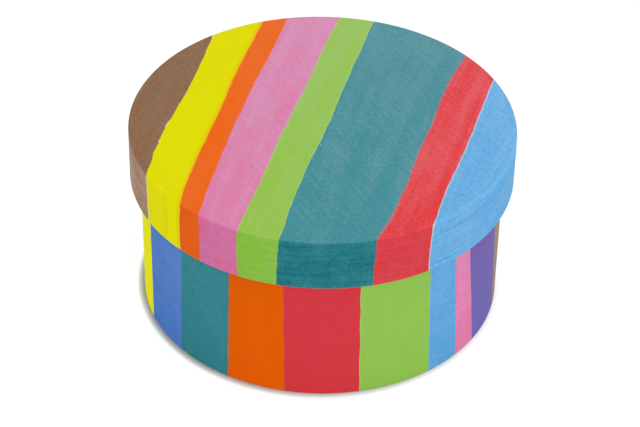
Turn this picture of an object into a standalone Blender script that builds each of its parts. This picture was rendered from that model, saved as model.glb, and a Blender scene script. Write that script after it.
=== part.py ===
# Round bentwood keepsake box with a lift-off cap lid.
#
# The box is made the way such boxes are built. A strip of veneer is bent into a
# hoop and closed with a scarf joint, in which both ends are shaved to a slant and
# lie one over the other. A second strip is glued inside the first, with its own
# scarf on the opposite side, so that each ply bridges the other's joint. The outer
# ply reaches past the inner one at one end, and the ledge that this leaves seats a
# plywood panel: the floor in the body and the top in the lid. The lid slips over
# the body and comes to rest with its top panel on the body's rim.
#
# Frame: metres, +Z up, origin on the table at the centre of the box.

import math

import bmesh
import bpy
from mathutils import Matrix, Vector

mm = 0.001

# Driving sizes of the whole box
lid_outer_diameter = 120.0 * mm
lid_height = 17.3 * mm
body_wall_height = 58.1 * mm

# Stock that the box is cut from
outer_ply_thickness = 1.5 * mm
inner_ply_thickness = 1.1 * mm
top_panel_thickness = 3.0 * mm
floor_panel_thickness = 3.0 * mm

# Fits
glue_line = 0.3 * mm
panel_edge_gap = 0.3 * mm
panel_seat_gap = 0.3 * mm
lid_running_gap = 0.4 * mm
lid_rest_gap = 0.3 * mm

# Scarf joints: the length that the ends overlap, and the opening between them, both along the bend
scarf_length = 6.0 * mm
scarf_opening = 0.5 * mm

# Sanded edges
lid_top_arris = 1.0 * mm
lid_mouth_easing = 0.4 * mm
body_rim_easing = 0.5 * mm
body_foot_easing = 0.4 * mm
panel_easing = 0.15 * mm

# Where the outer plies close, as directions seen from above, counted from +X towards +Y
lid_scarf_direction = math.radians(104.0)
body_scarf_direction = math.radians(76.0)
opposite_side = math.pi

# How finely round shapes are faceted
hoop_steps = 96
arris_segments = 4
easing_segments = 2
crease_angle = math.radians(40.0)

# Radii, worked inwards from the lid's outer face
lid_outer_radius = lid_outer_diameter / 2
lid_outer_ply_inside = lid_outer_radius - outer_ply_thickness
lid_inner_ply_outside = lid_outer_ply_inside - glue_line
lid_inner_ply_inside = lid_inner_ply_outside - inner_ply_thickness
body_outer_radius = lid_inner_ply_inside - lid_running_gap
body_outer_ply_inside = body_outer_radius - outer_ply_thickness
body_inner_ply_outside = body_outer_ply_inside - glue_line
body_inner_ply_inside = body_inner_ply_outside - inner_ply_thickness
top_panel_radius = lid_outer_ply_inside - panel_edge_gap
floor_panel_radius = body_outer_ply_inside - panel_edge_gap

# Heights, worked upwards from the table
body_inner_ply_bottom = floor_panel_thickness + panel_seat_gap
top_panel_bottom = body_wall_height + lid_rest_gap
lid_top = top_panel_bottom + top_panel_thickness
lid_mouth = lid_top - lid_height
lid_inner_ply_top = top_panel_bottom - panel_seat_gap


def remove_everything():
    """Start from an empty scene, whatever the file held."""
    for thing in list(bpy.data.objects):
        bpy.data.objects.remove(thing, do_unlink=True)


def wood_finish(name, colour, roughness):
    """A painted or bare wood surface: one Principled BSDF with the piece's own colour."""
    material = bpy.data.materials.new(name)
    material.use_nodes = True
    shader = material.node_tree.nodes["Principled BSDF"]
    shader.inputs["Base Color"].default_value = (*colour, 1.0)
    shader.inputs["Roughness"].default_value = roughness
    shader.inputs["Metallic"].default_value = 0.0
    material.diffuse_color = (*colour, 1.0)
    return material


def make_reference_point(name, height):
    """An empty on the box's axis, which carries one half of the box."""
    frame = bpy.data.objects.new(name, None)
    frame.location = (0.0, 0.0, height)
    bpy.context.scene.collection.objects.link(frame)
    return frame


def make_piece(name, shape, material, frame, own_height):
    """Turn a shape that was worked out in place into a named object, whose origin lies on the
    box's axis at the piece's own height and which is carried by its half's reference point."""
    bmesh.ops.recalc_face_normals(shape, faces=shape.faces)
    bmesh.ops.translate(shape, verts=shape.verts, vec=Vector((0.0, 0.0, -own_height)))
    mesh = bpy.data.meshes.new(name)
    shape.to_mesh(mesh)
    shape.free()
    mesh.materials.append(material)
    mesh.shade_smooth()
    mesh.set_sharp_from_angle(angle=crease_angle)
    piece = bpy.data.objects.new(name, mesh)
    piece.parent = frame
    piece.location = Vector((0.0, 0.0, own_height)) - frame.location
    bpy.context.scene.collection.objects.link(piece)
    return piece


def strip_section(inside, outside, bottom, top, sanded_corners):
    """The strip's cross-section, upright in the XZ plane: a rectangle, whose named corners are
    rounded by the radius and with the number of segments that sanded_corners gives."""
    section = bmesh.new()
    corners = {
        "inner_bottom": section.verts.new((inside, 0.0, bottom)),
        "outer_bottom": section.verts.new((outside, 0.0, bottom)),
        "outer_top": section.verts.new((outside, 0.0, top)),
        "inner_top": section.verts.new((inside, 0.0, top)),
    }
    section.faces.new(list(corners.values()))
    for where, (radius, segments) in sanded_corners.items():
        bmesh.ops.bevel(
            section,
            geom=[corners[where]],
            offset=radius,
            offset_type="OFFSET",
            segments=segments,
            profile=0.5,
            affect="VERTICES",
        )
    return section


def slant_the_ends(hoop, inside, outside):
    """Turn every point about the box's axis by an angle that grows from nothing on the outer face
    to the scarf's overlap on the inner face. The round faces keep their shape, because they only
    turn in place, and the two flat ends become the slanted faces of a scarf joint."""
    overlap_angle = scarf_length / outside
    for point in hoop.verts:
        radius = math.hypot(point.co.x, point.co.y)
        depth_share = (outside - radius) / (outside - inside)
        point.co.rotate(Matrix.Rotation(depth_share * overlap_angle, 3, "Z"))


def bent_strip(inside, outside, bottom, top, scarf_direction, sanded_corners):
    """A strip bent into a hoop: its section is spun about the box's axis, all the way round but
    for the opening of its scarf joint, and then the ends are slanted."""
    hoop = strip_section(inside, outside, bottom, top, sanded_corners)
    opening_angle = scarf_opening / outside
    first_end = Matrix.Rotation(scarf_direction + opening_angle / 2, 3, "Z")
    bmesh.ops.rotate(hoop, verts=hoop.verts, cent=(0.0, 0.0, 0.0), matrix=first_end)
    bmesh.ops.spin(
        hoop,
        geom=hoop.verts[:] + hoop.edges[:] + hoop.faces[:],
        cent=(0.0, 0.0, 0.0),
        axis=(0.0, 0.0, 1.0),
        angle=2 * math.pi - opening_angle,
        steps=hoop_steps,
        use_duplicate=False,
    )
    slant_the_ends(hoop, inside, outside)
    return hoop


def round_panel(radius, bottom, thickness):
    """A plywood disc, sawn round, with its sharp edges just broken on both faces."""
    disc = bmesh.new()
    bmesh.ops.create_cone(
        disc,
        cap_ends=True,
        segments=hoop_steps,
        radius1=radius,
        radius2=radius,
        depth=thickness,
        matrix=Matrix.Translation((0.0, 0.0, bottom + thickness / 2)),
    )
    faces_of_panel = [face for face in disc.faces if len(face.verts) == hoop_steps]
    sawn_edges = list({edge for face in faces_of_panel for edge in face.edges})
    bmesh.ops.bevel(
        disc,
        geom=sawn_edges,
        offset=panel_easing,
        offset_type="OFFSET",
        segments=1,
        profile=0.5,
        affect="EDGES",
    )
    return disc


def make_body_outer_hoop(frame):
    """The body's outer ply, from the table to the rim. It holds the floor panel at its foot."""
    shape = bent_strip(
        body_outer_ply_inside,
        body_outer_radius,
        0.0,
        body_wall_height,
        body_scarf_direction,
        {"outer_bottom": (body_foot_easing, easing_segments), "outer_top": (body_rim_easing, easing_segments)},
    )
    paint = wood_finish("stripe_paint_on_body", (0.640, 0.045, 0.058), 0.62)
    make_piece("body_outer_hoop", shape, paint, frame, 0.0)


def make_body_inner_hoop(frame):
    """The body's inner ply, which stands on the floor panel's edge and ends level with the rim."""
    shape = bent_strip(
        body_inner_ply_inside,
        body_inner_ply_outside,
        body_inner_ply_bottom,
        body_wall_height,
        body_scarf_direction + opposite_side,
        {"inner_top": (body_rim_easing, easing_segments)},
    )
    bare_wood = wood_finish("bare_veneer_inside_body", (0.720, 0.530, 0.330), 0.70)
    make_piece("body_inner_hoop", shape, bare_wood, frame, body_inner_ply_bottom)


def make_floor_panel(frame):
    """The floor, let into the foot of the body's outer ply, under the end of the inner one."""
    shape = round_panel(floor_panel_radius, 0.0, floor_panel_thickness)
    bare_wood = wood_finish("bare_plywood_floor", (0.740, 0.560, 0.360), 0.70)
    make_piece("floor_panel", shape, bare_wood, frame, 0.0)


def make_lid_outer_hoop(frame):
    """The lid's outer ply, from the mouth up to the top face, with the top edge well rounded."""
    shape = bent_strip(
        lid_outer_ply_inside,
        lid_outer_radius,
        lid_mouth,
        lid_top,
        lid_scarf_direction,
        {"outer_bottom": (lid_mouth_easing, easing_segments), "outer_top": (lid_top_arris, arris_segments)},
    )
    paint = wood_finish("stripe_paint_on_lid_rim", (0.610, 0.140, 0.340), 0.62)
    make_piece("lid_outer_hoop", shape, paint, frame, lid_mouth)


def make_lid_inner_hoop(frame):
    """The lid's inner ply, which slides down over the body and carries the top panel."""
    shape = bent_strip(
        lid_inner_ply_inside,
        lid_inner_ply_outside,
        lid_mouth,
        lid_inner_ply_top,
        lid_scarf_direction + opposite_side,
        {"inner_bottom": (lid_mouth_easing, easing_segments)},
    )
    bare_wood = wood_finish("bare_veneer_inside_lid", (0.720, 0.530, 0.330), 0.70)
    make_piece("lid_inner_hoop", shape, bare_wood, frame, lid_mouth)


def make_lid_top_panel(frame):
    """The top, let into the lid's outer ply, flush with it, and resting on the inner ply's end."""
    shape = round_panel(top_panel_radius, top_panel_bottom, top_panel_thickness)
    paint = wood_finish("stripe_paint_on_lid_top", (0.085, 0.280, 0.310), 0.62)
    make_piece("lid_top_panel", shape, paint, frame, top_panel_bottom)


def main():
    remove_everything()

    body_frame = make_reference_point("body_frame", 0.0)
    make_body_outer_hoop(body_frame)
    make_body_inner_hoop(body_frame)
    make_floor_panel(body_frame)

    lid_frame = make_reference_point("lid_frame", lid_mouth)
    make_lid_outer_hoop(lid_frame)
    make_lid_inner_hoop(lid_frame)
    make_lid_top_panel(lid_frame)

    bpy.context.view_layer.update()
    print("lid: outside diameter", round(lid_outer_diameter / mm, 2), "mm, height", round(lid_height / mm, 2), "mm")
    print("body: outside diameter", round(2 * body_outer_radius / mm, 2), "mm")
    print("body: inside diameter", round(2 * body_inner_ply_inside / mm, 2), "mm")
    print("box: height", round(lid_top / mm, 2), "mm")


main()
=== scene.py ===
# %% [markdown]
# # A round bentwood box, painted in stripes
#
# The object is a small keepsake box. Its two halves are hoops of thin wood with a plywood disc let
# into one end, and somebody has painted it by hand with broad stripes of matt acrylic. The stripes
# on the lid run straight across the top and down its rim. Those on the body run from rim to foot.
#
# The construction is already there: six solids at their real size. This lesson gives each of them
# a finer surface of the same shape, and the surface its wood and its paint.

# %% Load the construction
import math

import bpy
import numpy as np
from mathutils import Matrix, Vector


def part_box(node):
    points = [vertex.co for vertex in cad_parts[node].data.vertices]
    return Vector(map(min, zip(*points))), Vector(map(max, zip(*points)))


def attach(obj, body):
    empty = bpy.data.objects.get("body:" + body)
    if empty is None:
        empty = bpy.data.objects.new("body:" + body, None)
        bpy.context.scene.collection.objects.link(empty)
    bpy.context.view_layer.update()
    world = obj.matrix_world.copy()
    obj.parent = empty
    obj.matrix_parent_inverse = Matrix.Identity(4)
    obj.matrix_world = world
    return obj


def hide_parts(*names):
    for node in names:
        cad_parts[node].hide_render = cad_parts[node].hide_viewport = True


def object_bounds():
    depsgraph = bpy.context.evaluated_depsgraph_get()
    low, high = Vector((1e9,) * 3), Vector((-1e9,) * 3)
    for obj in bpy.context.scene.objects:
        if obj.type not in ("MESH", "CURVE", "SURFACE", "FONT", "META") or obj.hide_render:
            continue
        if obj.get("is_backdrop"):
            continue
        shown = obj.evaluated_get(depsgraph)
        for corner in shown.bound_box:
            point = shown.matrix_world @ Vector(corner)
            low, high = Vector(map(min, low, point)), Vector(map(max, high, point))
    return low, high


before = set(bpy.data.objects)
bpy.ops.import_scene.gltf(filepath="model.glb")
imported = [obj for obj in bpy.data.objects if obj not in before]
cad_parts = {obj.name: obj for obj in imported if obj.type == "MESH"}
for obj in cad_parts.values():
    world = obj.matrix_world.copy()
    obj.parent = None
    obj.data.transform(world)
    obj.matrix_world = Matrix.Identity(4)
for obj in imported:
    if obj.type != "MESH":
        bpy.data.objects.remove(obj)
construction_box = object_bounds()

mm = 0.001
print("pieces:", ", ".join(sorted(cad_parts)))

# %% [markdown]
# ## Sizes
#
# Every length here comes from the solids, or is the thickness of the stock that they are cut from.
# Each hoop is two plies glued face to face, and a panel sits on the ledge that the inner ply leaves.
# So the radii of the solids and the two thicknesses of ply give all the other radii.

# %% Read the sizes off the solids
outer_ply_thickness = 1.5 * mm
inner_ply_thickness = 1.1 * mm
# The solids are cut into flat facets, and the finer surfaces keep this far inside their box.
facet_allowance = 0.03 * mm


def size_of(node):
    """Outer radius, lowest height and highest height of a round solid that stands on the box's axis."""
    low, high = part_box(node)
    return (high[0] - low[0]) / 2 - facet_allowance, low[2], high[2]


lid_radius, lid_mouth, lid_top = size_of("lid_outer_hoop")
lid_lining_radius, _, lid_lining_top = size_of("lid_inner_hoop")
top_panel_radius, top_panel_bottom, _ = size_of("lid_top_panel")
body_radius, _, body_rim = size_of("body_outer_hoop")
body_lining_radius, body_lining_bottom, _ = size_of("body_inner_hoop")
floor_radius, _, floor_top = size_of("floor_panel")
lid_depth = lid_top - lid_mouth
print("lid", round(2 * lid_radius / mm, 1), "mm across; body", round(2 * body_radius / mm, 1), "mm across")

# %% [markdown]
# ## From an outline to a hoop
#
# A veneer strip bent round a drum is a surface of revolution with a gap in it. The outline of its
# section is a rectangle with sanded corners. Turning that outline about the axis gives the hoop.
# The scarf joint needs no modelling of its own: if each point is turned a little further the deeper
# it lies in the ply, both ends come out slanted and lie one over the other.

# %% Outline of a strip's section
corner_steps = 5
least_cuts = 4
holding_distance = 0.05 * mm


def strip_outline(inside, outside, bottom, top, corner_radii, spacing):
    """Closed outline in (radius, height), anticlockwise from the inner bottom corner. A corner is a
    quarter circle, centre + radius * (cos a, sin a), and the straight stretches are cut evenly. One
    more point close to each corner keeps its rounding out of the flat faces' shading."""
    corners = (
        (inside, bottom, 1, 1, 180),
        (outside, bottom, -1, 1, 270),
        (outside, top, -1, -1, 0),
        (inside, top, 1, -1, 90),
    )
    arcs = []
    for (radius, height, inward, upward, start), rounding in zip(corners, corner_radii):
        angle = np.radians(np.linspace(start, start + 90, corner_steps + 1))
        centre = np.array([radius + inward * rounding, height + upward * rounding])
        arcs.append(centre + rounding * np.stack([np.cos(angle), np.sin(angle)], axis=1))
    stretches = []
    for arc, following in zip(arcs, arcs[1:] + arcs[:1]):
        length = np.linalg.norm(following[0] - arc[-1])
        even = np.linspace(0, length, max(least_cuts, int(round(length / spacing))) + 1)[1:-1]
        share = np.concatenate([[holding_distance], even, [length - holding_distance]])[:, None] / length
        stretches += [arc, arc[-1] + share * (following[0] - arc[-1])]
    return np.concatenate(stretches)


outline = strip_outline(0, outer_ply_thickness, lid_mouth, lid_top, [holding_distance] * 4, mm)
print("the outline of a strip as deep as the lid has", len(outline), "points")

# %% Outline of a panel
sawn_edge_points = 4


def panel_outline(radius, bottom, top, easing, spacing):
    """Open outline in (radius, height) from the centre of the top face, over the sawn edge, to the
    centre of the underside. Its two ends lie on the axis, where each closes in a pole."""
    inner = np.linspace(0, radius - easing, int(round(radius / spacing)))
    edge = np.linspace(top - easing, bottom + easing, sawn_edge_points)
    over = np.stack([inner, np.full_like(inner, top)], axis=1)
    down = np.stack([np.full_like(edge, radius), edge], axis=1)
    under = np.stack([inner[::-1], np.full_like(inner, bottom)], axis=1)
    return np.concatenate([over, down, under])


outline = panel_outline(top_panel_radius, top_panel_bottom, lid_top, holding_distance, mm)
print("the outline of the lid's panel has", len(outline), "points")

# %% [markdown]
# ## Hand work in the shape
#
# Nothing that is bent from veneer and sanded by hand is a perfect cylinder. The wall wanders by a
# few hundredths of a millimetre, and the lapped end of each strip stands proud by about the
# thickness of a sheet of paper. Both are too small to see as shape, but each moves the light on the
# paint. The lid's top edge is sanded round: by up to a millimetre on the right, by half of that at
# the left front, and hardly anywhere else. That does show in the outline.

# %% How the wall wanders
wall_wander = 0.05 * mm
# Each wave of the wall: how many of them go round the hoop, where it starts in radians, how it leans in
# radians for each metre of height, and its size. The sizes add up to 1.
wall_waves = ((3, 0.9, 40.0, 0.45), (5, 2.1, -65.0, 0.25), (11, 0.4, 90.0, 0.18), (17, 1.7, -120.0, 0.12))


def wander(angle, height):
    """Slow in-and-out of a bent wall, between -1 and 1: size * sin(count * angle + start + lean * height),
    added up over its waves."""
    return sum(
        size * np.sin(count * angle + start + lean * height) for count, start, lean, size in wall_waves
    )


round_the_lid = np.radians(np.arange(360))
wander_span = np.ptp(wander(round_the_lid, lid_top)) * wall_wander
print("the wall wanders over", round(float(wander_span) / mm, 3), "mm")

# %% How the lid's edge is sanded
least_sanding = 0.02 * mm
# Each sanded side of the lid's edge: its direction from +X, the greatest depth, how far in from the edge it
# reaches, and how quickly it dies away to both sides.
sanded_sides = (
    (math.radians(-20.0), 1.00 * mm, 3.6 * mm, 7),
    (math.radians(-140.0), 0.45 * mm, 1.8 * mm, 10),
)
# For the stripes, flat turns to upright over this height, which begins a little above the lid's top.
rounded_height = 0.75 * mm
rounding_lead = 0.05 * mm


def smooth_step(value):
    """0 below 0, 1 above 1, and 3 v^2 - 2 v^3 between."""
    share = np.clip(value, 0, 1)
    return share * share * (3 - 2 * share)


def sanded_drop(radius, angle):
    """How far sanding has lowered the lid's top near its edge. Across the edge each side is a quarter of an
    ellipse, depth * (1 - sqrt(1 - s^2)), where s goes from 0 at its reach to 1 at the very edge. Along the
    edge the depth falls off as a power of (1 + cos of the angle from the side's direction) / 2."""
    drop = 0 * radius * angle
    for direction, depth, reach, power in sanded_sides:
        share = np.clip((radius - (lid_radius - reach)) / reach, 0, 1)
        nearness = (0.5 + 0.5 * np.cos(angle - direction)) ** power
        drop = drop + (least_sanding + depth * nearness) * (1 - np.sqrt(1 - share ** 2))
    return drop


def near_top(height, depth, change):
    """1 at the lid's top and 0 from the given depth under it down, with a smooth change between."""
    return smooth_step((height - (lid_top - depth)) / change)


def over_the_edge(height):
    """0 on the lid's flat top, 1 on its upright rim, and a smooth change over the rounded edge between."""
    return smooth_step((lid_top - height + rounding_lead) / rounded_height)


print("sanding takes off up to", round(float(sanded_drop(lid_radius, round_the_lid).max()) / mm, 2), "mm")

# %% [markdown]
# ## Meshes from arrays
#
# A swept outline is a grid of points, so its faces are a grid of quads and can be written down as
# one array. Each mesh also carries two places on every point, in millimetres. `stripe_place` says
# where the point lies across and along the painted stripes, and `grain_place` says where it lies
# along and across the grain of the wood. The materials draw with these, so that paint and grain
# bend round the hoop with the wood. `painted` is 1 under paint and 0 on bare wood, and `upright` is
# 0 on the lid's flat top and 1 on its rim.

# %% Turn arrays into an object
crease_angle = math.radians(30.0)


def ring_quads(rows, columns):
    """Quads of a grid of rows by columns points, numbered row by row. The last column joins the first."""
    row = np.arange(rows - 1)[:, None]
    column = np.arange(columns)[None, :]
    following = (column + 1) % columns
    near, far = row * columns, (row + 1) * columns
    return np.stack([near + column, far + column, far + following, near + following], axis=-1).reshape(-1, 4)


def make_piece(name, points, faces, places):
    """A smooth-shaded mesh object at the origin, with its place in its points and its attributes."""
    mesh = bpy.data.meshes.new(name)
    mesh.from_pydata(points.reshape(-1, 3).tolist(), [], faces)
    for label, values in places.items():
        if values.ndim == points.ndim:
            mesh.attributes.new(label, "FLOAT_VECTOR", "POINT").data.foreach_set("vector", values.ravel())
        else:
            mesh.attributes.new(label, "FLOAT", "POINT").data.foreach_set("value", values.ravel())
    mesh.validate()
    mesh.shade_smooth()
    mesh.set_sharp_from_angle(angle=crease_angle)
    piece = bpy.data.objects.new(name, mesh)
    bpy.context.scene.collection.objects.link(piece)
    print(name, "has", len(mesh.polygons), "faces")
    return piece


# %% Bend a strip into a hoop
hoop_steps = 360
scarf_length = 6.0 * mm
scarf_hairline = 0.14 * mm
lap_step = 0.10 * mm
lap_fade = 7.0 * mm
# How far round from the lap its step fades, in radians.
lap_reach = 0.5


def bent_strip(inside, outside, bottom, top, corner_radii, spacing, scarf_direction):
    """Angle from the scarf's direction, radius and height of every point of a hoop. The angle is the way
    round, plus a slant that grows from 0 on the outer face to the overlap on the inner face. The outer
    face dips by the lap's step where the strip begins, and comes back over the length of its fade."""
    outline = strip_outline(inside, outside, bottom, top, corner_radii, spacing)
    radius, height = outline[None, :, 0], outline[None, :, 1]
    way_round = np.linspace(0, 1, hoop_steps + 1)[:, None]
    hairline, overlap = scarf_hairline / outside, scarf_length / outside
    depth_share = (outside - radius) / (outside - inside)
    turned = hairline / 2 + depth_share * overlap + way_round * (2 * math.pi - hairline)
    from_lap = np.minimum(turned - depth_share * overlap, lap_reach) * outside
    swayed = wall_wander * (wander(turned + scarf_direction, height) - 1)
    dipped = swayed - lap_step * np.exp(-from_lap / lap_fade)
    return turned, radius + (1 - depth_share) * dipped, height + 0 * turned


def hoop_points(turned, radius, height, scarf_direction):
    """Cylindrical to rectangular: (r cos a, r sin a, h), with the angle counted from +X."""
    angle = turned + scarf_direction
    return np.stack([radius * np.cos(angle), radius * np.sin(angle), height], axis=-1)


def hoop_faces(stations, outline_length):
    """The swept wall, and one many-sided face that closes each end of the strip."""
    wall = ring_quads(stations, outline_length)
    first = list(range(outline_length))
    last = [(stations - 1) * outline_length + place for place in reversed(range(outline_length))]
    return wall.tolist() + [first, last]


def hoop_grain(turned, radius, height, outside, log_place):
    """Grain of a bent strip in mm: it runs round the hoop, (arc length, height, depth). What is added to
    all three is the place in the log that the strip was cut from, so that no two strips look alike."""
    return np.stack([turned * outside, height, radius], axis=-1) / mm + log_place


print("the ends of a strip lie", round(scarf_length / mm, 1), "mm over each other")

# %% Turn a panel's outline into a disc
panel_steps = 300


def round_panel(radius, bottom, top, easing, spacing):
    """Angle, radius and height of every point of a disc's rings. The outline's two ends, which lie on
    the axis, are left out."""
    outline = panel_outline(radius, bottom, top, easing, spacing)
    angle = np.linspace(0, 2 * math.pi, panel_steps, endpoint=False)[None, :]
    radius, height = outline[1:-1, 0][:, None], outline[1:-1, 1][:, None]
    return angle + 0 * radius, radius + 0 * angle, height + 0 * angle


def with_poles(rings, top_pole, bottom_pole):
    """The rings' points in one list, and after them the point on the axis at each of two heights."""
    return np.concatenate([rings.reshape(-1, 3), [[0, 0, top_pole], [0, 0, bottom_pole]]])


def disc_faces(rings, steps):
    """The rings' quads, and a fan of triangles round each pole. The poles are the last two points."""
    wall = ring_quads(rings, steps)
    here = np.arange(steps)
    following = (here + 1) % steps
    top_pole, bottom_pole = rings * steps, rings * steps + 1
    last_ring = (rings - 1) * steps
    top_fan = np.stack([np.full(steps, top_pole), here, following], axis=1)
    bottom_fan = np.stack([np.full(steps, bottom_pole), last_ring + following, last_ring + here], axis=1)
    return wall.tolist() + top_fan.tolist() + bottom_fan.tolist()


def panel_grain(points, direction):
    """Grain of a flat panel in mm: (along the grain, across it, depth)."""
    sideways, away, height = points[..., 0], points[..., 1], points[..., 2]
    along = sideways * math.cos(direction) + away * math.sin(direction)
    across = away * math.cos(direction) - sideways * math.sin(direction)
    return np.stack([along, across, height], axis=-1) / mm


print("a disc of 2 rings with 3 points each has", len(disc_faces(2, 3)), "faces")

# %% [markdown]
# ## Where the stripes run on the lid
#
# The stripes were drawn by hand, so no border is straight. Each border below is a few points read
# off the photograph, as shares of the lid's radius: sideways, and away from the viewer. For a point
# of the lid, the sideways distance to each border gives its place across the stripes. That place is
# stretched so that each border falls on one fixed number, and the material only needs those numbers.
# Down the rim a border goes on from where it crosses the edge. It drifts sideways a little on its
# way down, and bulges halfway, as a line drawn by hand does.

# %% Borders of the lid's stripes
lid_border_shares = {
    "brown_yellow": ((-0.60, 0.80), (-0.64, 0.59), (-0.71, 0.27), (-0.765, 0.07), (-0.815, -0.11),
                     (-0.85, -0.30), (-0.873, -0.488)),
    "yellow_orange": ((-0.343, 0.93), (-0.40, 0.71), (-0.46, 0.46), (-0.51, 0.22), (-0.56, -0.03),
                      (-0.61, -0.24), (-0.663, -0.48), (-0.697, -0.72)),
    "orange_pink": ((-0.212, 0.96), (-0.255, 0.765), (-0.30, 0.58), (-0.35, 0.39), (-0.40, 0.19),
                    (-0.45, -0.03), (-0.493, -0.24), (-0.535, -0.44), (-0.575, -0.655), (-0.595, -0.80)),
    "pink_green": ((0.082, 0.99), (0.017, 0.765), (-0.05, 0.49), (-0.12, 0.22), (-0.18, 0.0),
                   (-0.22, -0.153), (-0.289, -0.46), (-0.345, -0.68), (-0.408, -0.915)),
    "green_teal": ((0.264, 0.955), (0.204, 0.714), (0.145, 0.476), (0.094, 0.272), (0.043, 0.034),
                   (-0.017, -0.187), (-0.062, -0.34), (-0.126, -0.60), (-0.199, -0.98)),
    "teal_red": ((0.762, 0.646), (0.68, 0.442), (0.62, 0.255), (0.561, 0.0), (0.485, -0.255),
                 (0.425, -0.51), (0.34, -0.80), (0.272, -0.962)),
    "red_sky": ((0.90, 0.434), (0.842, 0.221), (0.774, -0.034), (0.697, -0.306), (0.62, -0.544),
                (0.546, -0.838)),
}
# The place that each border has in the pattern, how far it drifts sideways from the top of the rim to its
# mouth, and how far it bulges halfway down.
lid_border_places = np.array([14.0, 27.0, 34.0, 50.5, 63.5, 92.5, 107.0]) * mm
lid_rim_drift = np.array([0.2, -0.1, 0.0, 0.4, -1.0, -0.7, -0.4]) * mm
lid_rim_bulge = np.array([0.0, -0.1, 0.1, -0.4, -0.2, 0.1, -0.2]) * mm
# A border's course is worked out at evenly spaced stations, which reach beyond the lid on both sides. The
# bell curve that smooths it takes in so many stations to each side.
station_reach = 1.3
station_count = 1041
bell_stations = 60
hand_smoothing = 1.6 * mm


def border_curve(shares, distance_away):
    """Sideways place of one border at each distance away: straight lines between its points, carried on
    beyond them with the slope of the last stretch, then averaged by a bell curve as a moving hand does."""
    sideways, away = (np.array(shares) * lid_radius)[::-1].T
    first_slope = (sideways[1] - sideways[0]) / (away[1] - away[0])
    last_slope = (sideways[-1] - sideways[-2]) / (away[-1] - away[-2])
    station = np.linspace(-station_reach, station_reach, station_count) * lid_radius
    course = np.interp(station, away, sideways)
    course += np.minimum(station - away[0], 0) * first_slope + np.maximum(station - away[-1], 0) * last_slope
    beside = np.arange(-bell_stations, bell_stations + 1) * (station[1] - station[0])
    bell = np.exp(-0.5 * (beside / hand_smoothing) ** 2)
    smoothed = np.convolve(course, bell / bell.sum(), "valid")
    return np.interp(distance_away, station[bell_stations:-bell_stations], smoothed)


def straightened(place, borders, fixed):
    """Place across the stripes, with every border moved to its fixed number: outside the outermost
    borders the distance is kept, and between two borders it is stretched to fill the stripe."""
    across = fixed[0] + np.minimum(place - borders[0], 0)
    across = across + np.maximum(place - borders[-1], 0)
    for left, right, width in zip(borders[:-1], borders[1:], np.diff(fixed)):
        across = across + np.clip((place - left) / (right - left), 0, 1) * width
    return across


def lid_stripe_place(points):
    """(across, along, down) in mm for points of the lid. On the rim the sideways and away distances stay
    those of the edge above, so the stripes turn down over it, with a drift that grows down the rim and a
    bulge that is greatest halfway down, bulge * sin(pi * share of the rim's depth)."""
    sideways, away, height = points[..., 0], points[..., 1], points[..., 2]
    depth = lid_top - height
    share_down = depth / lid_depth
    borders = [
        border_curve(shares, away) + drift * share_down + bulge * np.sin(math.pi * share_down)
        for shares, drift, bulge in zip(lid_border_shares.values(), lid_rim_drift, lid_rim_bulge)
    ]
    across = straightened(sideways, borders, lid_border_places)
    return np.stack([across, away, depth], axis=-1) / mm


print("the lid has", len(lid_border_shares) + 1, "stripes")

# %% [markdown]
# ## Where the stripes run on the body
#
# On the wall a border is nearly upright, so two directions are enough for it: one just under the
# lid and one at the foot. The back of the box isn't seen in the photograph, and carries on with the
# same paints. The stripes are counted from the scarf joint, where the strip begins and ends.

# %% Borders of the body's stripes
body_scarf_direction = math.radians(76.0)
lid_scarf_direction = math.radians(104.0)
opposite_side = math.pi
body_border_degrees = np.array((
    (100.5, 99.5), (125.0, 126.5), (152.5, 151.0), (177.0, 177.5), (202.2, 202.4), (222.6, 221.1),
    (241.7, 240.7), (259.0, 259.8), (282.4, 283.0), (305.5, 307.1), (315.9, 319.0), (322.5, 328.4),
    (340.7, 346.8), (368.5, 367.0), (401.0, 402.5),
))
body_border_places = (np.radians(body_border_degrees.mean(axis=1)) - body_scarf_direction) * body_radius


def body_stripe_place(turned, height):
    """(across, along, 0) in mm for points of the wall: arc length from the scarf joint, straightened
    so that each border stands upright at the mean of its two directions."""
    from_scarf = (np.radians(body_border_degrees) - body_scarf_direction) * body_radius
    share_up = height / lid_mouth
    borders = [foot + (mouth - foot) * share_up for mouth, foot in from_scarf]
    across = straightened(turned * body_radius, borders, from_scarf.mean(axis=1))
    return np.stack([across, height + 0 * across, 0 * across], axis=-1) / mm


print("the body has", len(body_border_places) + 1, "stripes")

# %% [markdown]
# ## The four strips
#
# The painted hoops are cut finely, about a millimetre each way, because the stripes' borders are
# carried by their points. The bare linings can be coarser. Where the panel meets the hoop the paint
# has filled the joint, so the two surfaces come within a hair of each other. The rims and the foot
# are rounded more than the edges inside, because sandpaper reaches them more often.

# %% The lid's outer ply
# Where in the log each strip was cut from, in mm.
cut_from = {"lid_rim": 0.0, "lid_lining": 400.0, "body_wall": 900.0, "body_lining": 1700.0}
joint_hairline = 0.006 * mm
fine_spacing = 1.0 * mm
small_easing = 0.12 * mm
filled_easing = 0.010 * mm
top_arris = 0.38 * mm
lid_mouth_easing = 0.35 * mm
rim_sanding_depth = 4.0 * mm
rim_sanding_change = 3.0 * mm
top_paint_depth = 1.2 * mm
bare_edge = 0.15 * mm
paint_run_out = 0.8 * mm


def painted_share(over_edge):
    """0 on bare wood, 1 on paint, and a ramp across the edge, as wide as the brush took to run out."""
    return np.clip(0.5 + over_edge / paint_run_out, 0, 1)


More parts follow.
